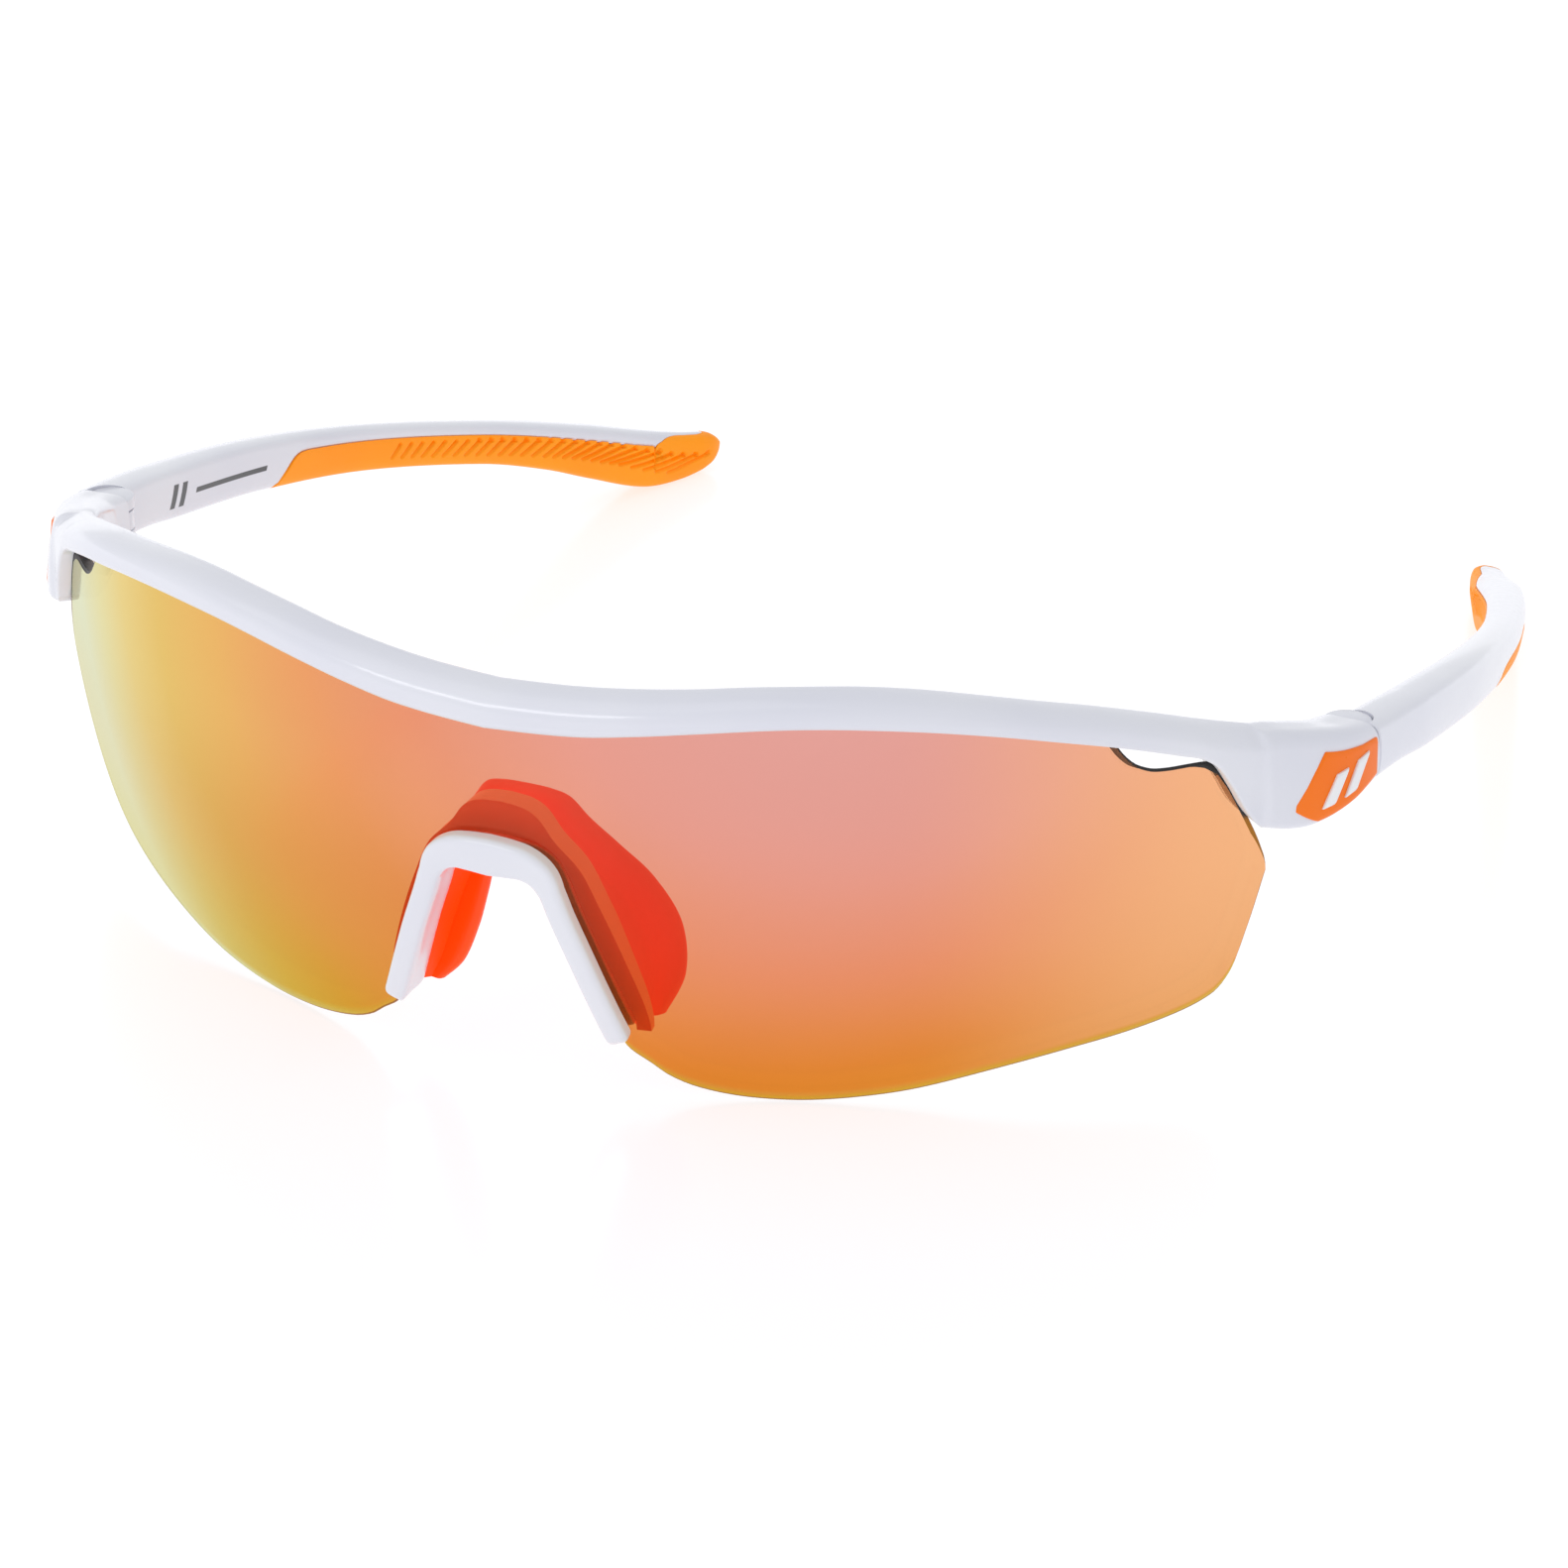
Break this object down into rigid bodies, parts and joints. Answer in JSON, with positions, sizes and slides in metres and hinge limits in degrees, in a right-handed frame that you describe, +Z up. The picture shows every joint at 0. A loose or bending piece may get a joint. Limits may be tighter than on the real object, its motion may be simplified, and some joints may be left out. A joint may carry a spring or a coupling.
{
  "type": "wraparound sport sunglasses",
  "caption": "Wraparound sport sunglasses with a half-rim brow frame, a mirrored shield lens, a nose bridge with a soft pad and folding arms with soft grips.",
  "frame": {"origin": "middle of the bounding box in x and y, at the level of the resting surface", "axes": "-Y is the front of the glasses, the arms run back along +Y, +X is the wearer's left, +Z is up"},
  "size_m": [0.1488, 0.1618, 0.0458],
  "materials": {
    "frame_white": "glossy moulded",
    "lens_mirror": "orange-red mirror coating over a tinted shield",
    "soft_orange": "soft satin",
    "pad_orange": "soft satin",
    "badge_orange": "glossy inlay",
    "badge_white": "glossy raised mark",
    "screw_steel": "plain steel"
  },
  "bodies": {
    "front": {"front_frame": "frame_white", "shield_lens": "lens_mirror", "nose_bridge": "frame_white", "nose_pad": "pad_orange", "badge_plate_left": "badge_orange", "badge_plate_right": "badge_orange", "badge_mark_left": "badge_white", "badge_mark_right": "badge_white", "hinge_screw_left": "screw_steel", "hinge_screw_right": "screw_steel"},
    "temple_left": {"arm_left": "frame_white", "grip_left": "soft_orange"},
    "temple_right": {"arm_right": "frame_white", "grip_right": "soft_orange"}
  },
  "joints": [
    {"name": "fold_left", "type": "hinge", "parent": "front", "child": "temple_left", "pos_m": [0.07, -0.02874, 0.031], "axis": [0, 0, 1], "range_deg": [0, 90]},
    {"name": "fold_right", "type": "hinge", "parent": "front", "child": "temple_right", "pos_m": [-0.07, -0.02874, 0.031], "axis": [0, 0, -1], "range_deg": [0, 76]}
  ]
}
